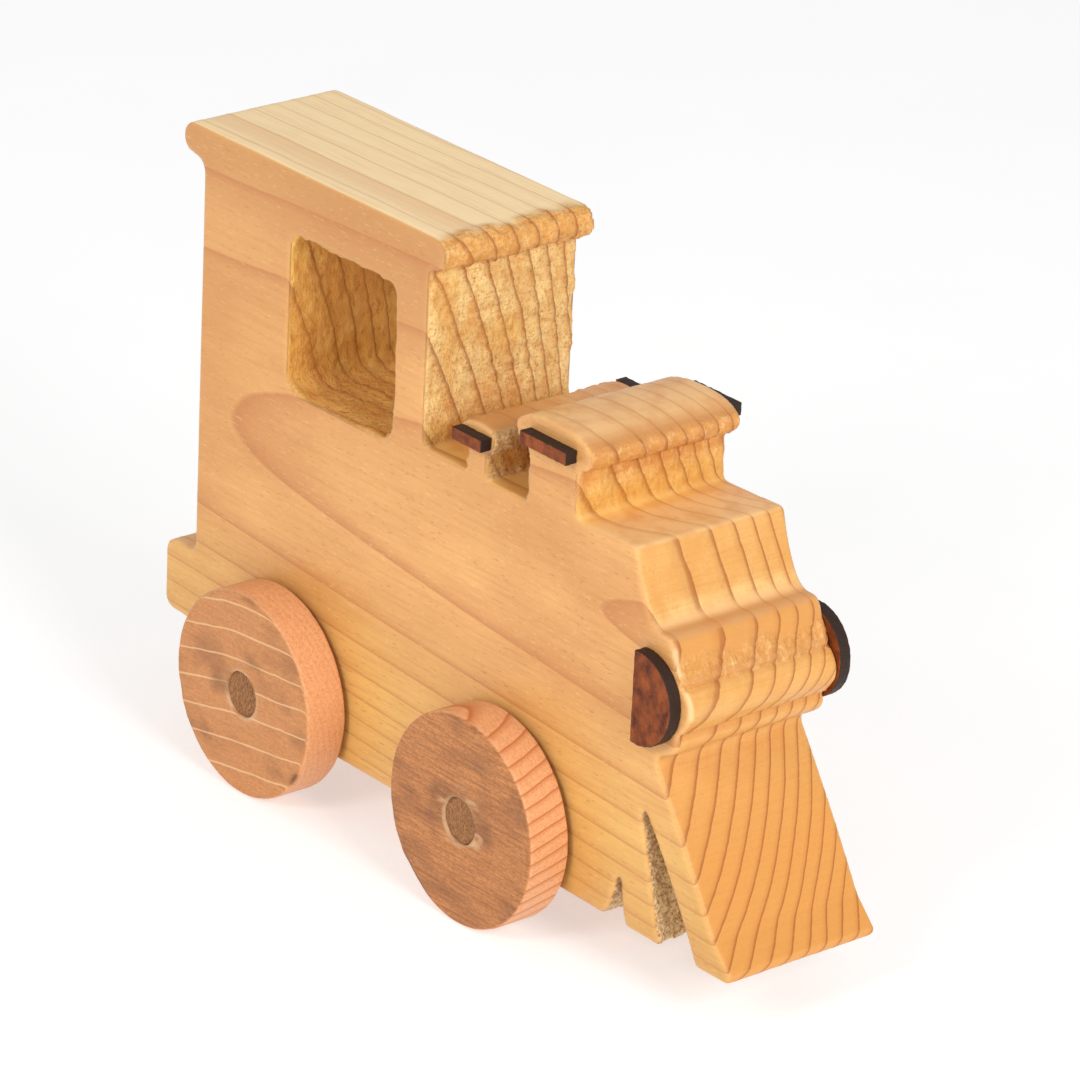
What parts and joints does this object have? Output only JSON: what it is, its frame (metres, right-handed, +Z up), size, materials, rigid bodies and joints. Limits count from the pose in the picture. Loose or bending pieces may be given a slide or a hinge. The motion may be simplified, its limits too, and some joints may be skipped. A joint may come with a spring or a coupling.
{
  "type": "toy train locomotive",
  "caption": "Wooden toy train locomotive: a body sawn from one thick board, with a cab window, dome, chimney and pilot, on turning wheels with dowel axles.",
  "frame": {"origin": "on the ground below the middle of the locomotive's length and width", "axes": "+X towards the nose, +Y to the left side, +Z up"},
  "size_m": [0.184, 0.06, 0.1346],
  "materials": {
    "body_wood": "clear oiled softwood",
    "wheel_wood": "clear oiled reddish wood",
    "dowel_wood": "raw sawn dowel end",
    "trim_wood": "thin sheet with charred cut edges"
  },
  "bodies": {
    "locomotive": {"body": "body_wood", "dome_trim_right": "trim_wood", "dome_trim_left": "trim_wood", "chimney_trim_right": "trim_wood", "chimney_trim_left": "trim_wood", "nose_disc_right": "trim_wood", "nose_disc_left": "trim_wood"},
    "front_wheelset": {"axle_front": "dowel_wood", "wheel_front_right": "wheel_wood", "wheel_front_left": "wheel_wood"},
    "rear_wheelset": {"axle_rear": "dowel_wood", "wheel_rear_right": "wheel_wood", "wheel_rear_left": "wheel_wood"}
  },
  "joints": [
    {"name": "front_wheels_roll", "type": "hinge", "parent": "locomotive", "child": "front_wheelset", "pos_m": [0.0221, 0, 0.0225], "axis": [0, 1, 0], "continuous": true},
    {"name": "rear_wheels_roll", "type": "hinge", "parent": "locomotive", "child": "rear_wheelset", "pos_m": [-0.0499, 0, 0.0225], "axis": [0, 1, 0], "continuous": true}
  ]
}
